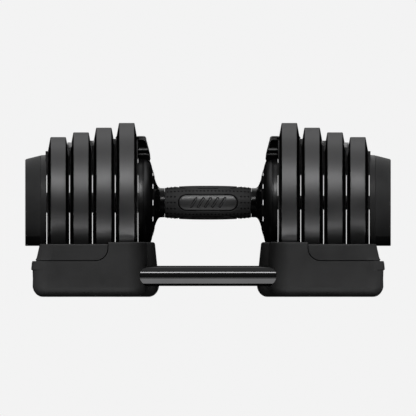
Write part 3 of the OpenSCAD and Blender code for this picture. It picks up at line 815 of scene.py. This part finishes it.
right = ledge("indicator_ledge_right")
for obj, side in ((mirrored(right, "indicator_ledge_left"), "left"), (right, "right")):
    obj.data.materials.append(LEDGE_HIGHLIGHT)
    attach(obj, NODE_BODY[f"indicator_housing_{side}"])


# ---------- plated tabs on the plate lugs ----------

LUG_TOP = 158.1                     # top of the lugs on the largest plate
LUG_STEP = 1.8                      # drop of the lugs from each plate to the next
TAB_R = 2.25                        # half the width of a tab, and the radius of its lower end
TAB_SIDE = 3.2                      # height of its straight sides
TAB_Y = (11.2, 24.14)


def tab(name, k):
    """Plated skin over the pair of lugs that reach from plate k into the next one."""
    top = LUG_TOP - LUG_STEP * (k - 1) + 0.03
    x = box_mm(f"plate_right_{k}")[1].x - 0.05 - TAB_R
    section = [(x - TAB_R, top), (x - TAB_R, top - TAB_SIDE)]
    section += arc(x, top - TAB_SIDE, TAB_R, 180, 360, 10) + [(x + TAB_R, top)]
    front, rear = TAB_Y
    skin = prism_y(name, section, -rear, -front)
    join(skin, [prism_y("half", section, front, rear)])
    return soften(skin, 0.3, 50, 2)


for k in (1, 2, 3):
    right = tab(f"plate_tab_right_{k}", k)
    for obj, side in ((mirrored(right, f"plate_tab_left_{k}"), "left"), (right, "right")):
        obj.data.materials.append(TAB)
        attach(obj, NODE_BODY[f"plate_{side}_{k}"])


# ---------- studio, in metres ----------

FLOOR_HALF = 4
FLOOR_Z = -0.0003                   # just below the feet
AIM_Z = 0.09                        # height that the lamps point at
AMBIENT = 0.12                      # soft light from all round
BACKDROP = 0.896                    # what the camera sees behind the object

floor_mesh = bpy.data.meshes.new("floor")
corners = [(x * FLOOR_HALF, y * FLOOR_HALF, FLOOR_Z) for x, y in ((-1, -1), (1, -1), (1, 1), (-1, 1))]
floor_mesh.from_pydata(corners, [], [(0, 1, 2, 3)])
floor = bpy.data.objects.new("floor", floor_mesh)
bpy.context.scene.collection.objects.link(floor)
floor_mesh.materials.append(
    material("pale floor", (0.80, 0.80, 0.80), 0.7, grain=(60, 0.02, 0.05), tint=0.01))
floor.visible_glossy = False
floor.visible_diffuse = False
floor.visible_shadow = False
floor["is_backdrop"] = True


def area_light(name, azimuth, elevation, distance, wide, angle, radiance, glossy, diffuse):
    """Soft light at azimuth (0 is the front, + to the right) and elevation, angle degrees tall."""
    tall = 2 * distance * math.tan(math.radians(angle / 2))
    data = bpy.data.lights.new(name, "AREA")
    data.shape = "RECTANGLE"
    data.size = wide
    data.size_y = tall
    data.energy = radiance * wide * tall * math.pi
    obj = bpy.data.objects.new(name, data)
    a, e = math.radians(azimuth), math.radians(elevation)
    out = Vector((math.sin(a) * math.cos(e), -math.cos(a) * math.cos(e), math.sin(e)))
    obj.location = out * distance + Vector((0, 0, AIM_Z))
    obj.rotation_euler = out.to_track_quat("Z", "Y").to_euler()
    obj.visible_camera = False
    obj.visible_glossy = glossy
    obj.visible_diffuse = diffuse
    bpy.context.scene.collection.objects.link(obj)
    return obj


# name, azimuth, elevation, distance, width, degrees tall, radiance, seen in reflections, lights diffusely
LIGHTS = [
    ("key strip", 0, 37.5, 2.0, 0.8, 11, 9.5, True, False),
    ("low far", 0, -35, 1.7, 1.4, 26, 0.1, True, False),
    ("floor card", 0, -40.5, 0.143, 0.5, 31.3, 1.8, True, False),
    ("rim card", 0, -40.5, 0.143, 0.34, 8.8, 0.38, True, False),
    ("bar card near", 0, -40.5, 0.143, 0.5, 14, 2.3, True, False),
    ("bar card far", 0, -40.5, 0.143, 0.5, 12, 1.0, True, False),
    ("tray card", 0, -40.5, 0.143, 0.5, 20.6, 0.8, True, False),
    ("left dome", -80, 50, 2.0, 2.6, 40, 1.1, True, False),
    ("right dome", 80, 50, 2.0, 2.6, 40, 1.1, True, False),
    ("overhead", 0, 84, 1.8, 1.8, 56, 0.32, True, False),
    ("behind", 0, 134, 2.2, 2.4, 56, 1.0, True, False),
    ("sky", 0, 96, 2.0, 3.0, 80, 0.3, False, True),
    ("left glint", -50, 0, 2.0, 0.24, 7, 1.2, True, False),
    ("right glint", 50, 0, 2.0, 0.24, 7, 1.2, True, False),
    ("left high glint", -70, 45, 2.0, 0.24, 7, 1.2, True, False),
    ("right high glint", 70, 45, 2.0, 0.24, 7, 1.2, True, False),
    ("left low glint", -70, -45, 2.0, 0.24, 7, 1.2, True, False),
    ("right low glint", 70, -45, 2.0, 0.24, 7, 1.2, True, False),
    ("left fill", -48, 30, 2.0, 0.9, 24, 11.0, False, True),
    ("right fill", 48, 30, 2.0, 0.9, 24, 11.0, False, True),
    ("front fill", 0, 10, 2.4, 3.0, 40, 0.1, False, True),
    ("floor wash", 0, 80, 2.5, 4.0, 60, 1.8, False, True),
]


def only_on(lamp, test):
    """The lamp lights only the pieces whose name and side pass the test."""
    own = bpy.data.collections.new(lamp.name)
    for obj in bpy.context.scene.objects:
        if obj.type == "MESH" and test(obj.name, sum(v[0] for v in obj.bound_box)):
            own.objects.link(obj)
    lamp.light_linking.receiver_collection = own


# depth and height of the cards that lie face up before the object and stand for light off the floor
CARD = {"floor card": (-0.095, -0.003), "bar card near": (-0.0875, -0.003), "bar card far": (-0.12, -0.003),
        "tray card": (-0.109, -0.003), "rim card": (-0.084, 0.0545)}
for row in LIGHTS:
    title, azimuth = row[:2]
    lamp = area_light(*row)
    if title in CARD:
        lamp.location = (0, *CARD[title])
        lamp.rotation_euler = (math.pi, 0, 0)
    if title == "floor card":
        only_on(lamp, lambda name, side: name.startswith(("plate_left", "plate_right", "grip")))
    elif title == "rim card":
        only_on(lamp, lambda name, side: name.startswith(("plate_left", "plate_right")))
    elif title == "tray card":
        only_on(lamp, lambda name, side: name.startswith("tray_"))
    elif title.startswith("bar card"):
        only_on(lamp, lambda name, side: "bar" in name)
    elif title == "floor wash":
        only_on(lamp, lambda name, side: name == "floor")
    elif title == "behind":
        only_on(lamp, lambda name, side: not name.startswith("grip"))
    elif title.endswith("dome"):
        only_on(lamp, lambda name, side: name.startswith(("hub_skin", "hub_plate")) and side * azimuth < 0)
    elif title in ("left fill", "right fill"):
        only_on(lamp, lambda name, side: name != "floor" and side * azimuth > -0.02)

world = bpy.data.worlds.new("studio")
bpy.context.scene.world = world
world.use_nodes = True
wt = world.node_tree
wt.nodes.clear()
out = wt.nodes.new("ShaderNodeOutputWorld")
mix = wt.nodes.new("ShaderNodeMixShader")
dim = wt.nodes.new("ShaderNodeBackground")
pale = wt.nodes.new("ShaderNodeBackground")
dim.inputs["Color"].default_value = (AMBIENT, AMBIENT, AMBIENT, 1)
pale.inputs["Color"].default_value = (BACKDROP, BACKDROP, BACKDROP, 1)
path = wt.nodes.new("ShaderNodeLightPath")
link(wt, path.outputs["Is Camera Ray"], mix.inputs["Fac"])
link(wt, dim.outputs["Background"], mix.inputs[1])
link(wt, pale.outputs["Background"], mix.inputs[2])
link(wt, mix.outputs["Shader"], out.inputs["Surface"])
world.cycles_visibility.glossy = False

camera = bpy.data.cameras.new("camera")
camera.type = "ORTHO"
camera.ortho_scale = 0.416
camera.clip_start = 0.01
camera.clip_end = 20
eye = bpy.data.objects.new("camera", camera)
eye.location = (0, -1.4, 0.0889)
eye.rotation_euler = (math.radians(90), 0, 0)
bpy.context.scene.collection.objects.link(eye)
bpy.context.scene.camera = eye
bpy.context.scene.view_settings.view_transform = "Standard"
bpy.context.scene.view_settings.look = "None"

lo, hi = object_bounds()
